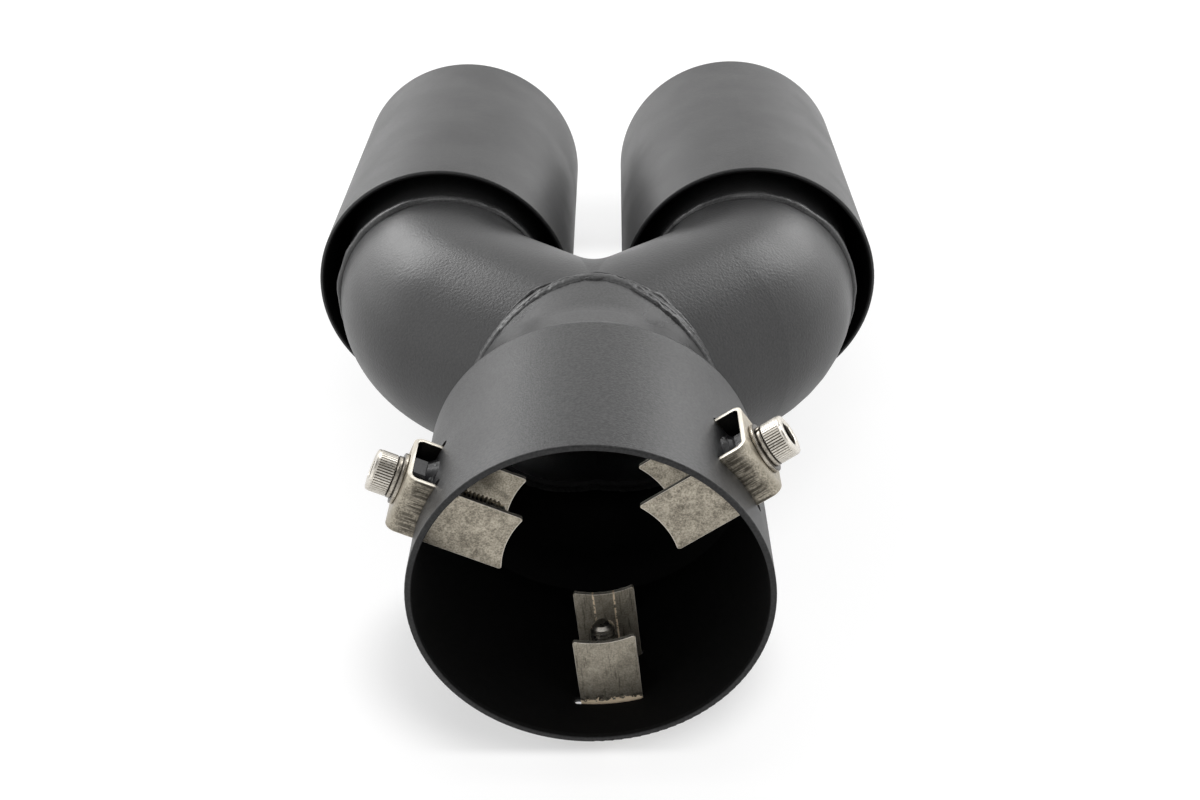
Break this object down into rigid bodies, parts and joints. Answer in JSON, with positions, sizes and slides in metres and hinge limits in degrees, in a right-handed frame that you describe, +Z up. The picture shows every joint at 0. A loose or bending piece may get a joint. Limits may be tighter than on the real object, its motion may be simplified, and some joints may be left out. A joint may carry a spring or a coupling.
{
  "type": "exhaust tip",
  "caption": "Y-shaped exhaust tip with a sleeve inlet, screw-driven pipe clamps, bent branch tubes and double-walled round outlets, coated matte black.",
  "frame": {"origin": "on the inlet axis, in the plane of the three clamp screws", "axes": "+Y along the inlet axis from the inlet towards the outlets, +X across the two outlets, +Z up"},
  "size_m": [0.174, 0.2633, 0.0957],
  "materials": {
    "matte_black_coat": "matte, fine-textured coating",
    "stainless_sheet": "brushed, lightly scratched",
    "stainless_hardware": "satin, machined"
  },
  "bodies": {
    "tip": {"inlet_sleeve": "matte_black_coat", "neck_weld": "matte_black_coat", "centre_weld": "matte_black_coat", "left_branch": "matte_black_coat", "left_branch_weld": "matte_black_coat", "left_outlet_sleeve": "matte_black_coat", "left_funnel": "matte_black_coat", "right_branch": "matte_black_coat", "right_branch_weld": "matte_black_coat", "right_outlet_sleeve": "matte_black_coat", "right_funnel": "matte_black_coat", "lower_nut": "matte_black_coat", "right_nut": "matte_black_coat", "left_nut": "matte_black_coat"},
    "lower_clamp": {"lower_clip": "stainless_sheet", "lower_flat_washer": "stainless_hardware", "lower_spring_washer": "stainless_hardware"},
    "lower_clamp_screw": {"lower_screw": "stainless_hardware"},
    "right_clamp": {"right_clip": "stainless_sheet", "right_flat_washer": "stainless_hardware", "right_spring_washer": "stainless_hardware"},
    "right_clamp_screw": {"right_screw": "stainless_hardware"},
    "left_clamp": {"left_clip": "stainless_sheet", "left_flat_washer": "stainless_hardware", "left_spring_washer": "stainless_hardware"},
    "left_clamp_screw": {"left_screw": "stainless_hardware"}
  },
  "joints": [
    {"name": "lower_clip_slide", "type": "slide", "parent": "tip", "child": "lower_clamp", "axis": [-0.0941, 0, 0.9956], "range_m": [-0.0176, 0]},
    {"name": "lower_screw_turn", "type": "hinge", "parent": "lower_clamp", "child": "lower_clamp_screw", "pos_m": [0.00475, 0, -0.05028], "axis": [-0.0941, 0, 0.9956], "range_deg": [-6336.5, 0]},
    {"name": "right_clip_slide", "type": "slide", "parent": "tip", "child": "right_clamp", "axis": [-0.8211, 0, -0.5707], "range_m": [-0.0176, 0]},
    {"name": "right_screw_turn", "type": "hinge", "parent": "right_clamp", "child": "right_clamp_screw", "pos_m": [0.04147, 0, 0.02882], "axis": [-0.8211, 0, -0.5707], "range_deg": [-6336.5, 0]},
    {"name": "left_clip_slide", "type": "slide", "parent": "tip", "child": "left_clamp", "axis": [0.9092, 0, -0.4163], "range_m": [-0.0176, 0]},
    {"name": "left_screw_turn", "type": "hinge", "parent": "left_clamp", "child": "left_clamp_screw", "pos_m": [-0.04592, 0, 0.02102], "axis": [0.9092, 0, -0.4163], "range_deg": [-6336.5, 0]}
  ],
  "couplings": [
    {"joint": "lower_screw_turn", "follows": "lower_clip_slide", "rad_per_m": 6283.2},
    {"joint": "right_screw_turn", "follows": "right_clip_slide", "rad_per_m": 6283.2},
    {"joint": "left_screw_turn", "follows": "left_clip_slide", "rad_per_m": 6283.2}
  ]
}
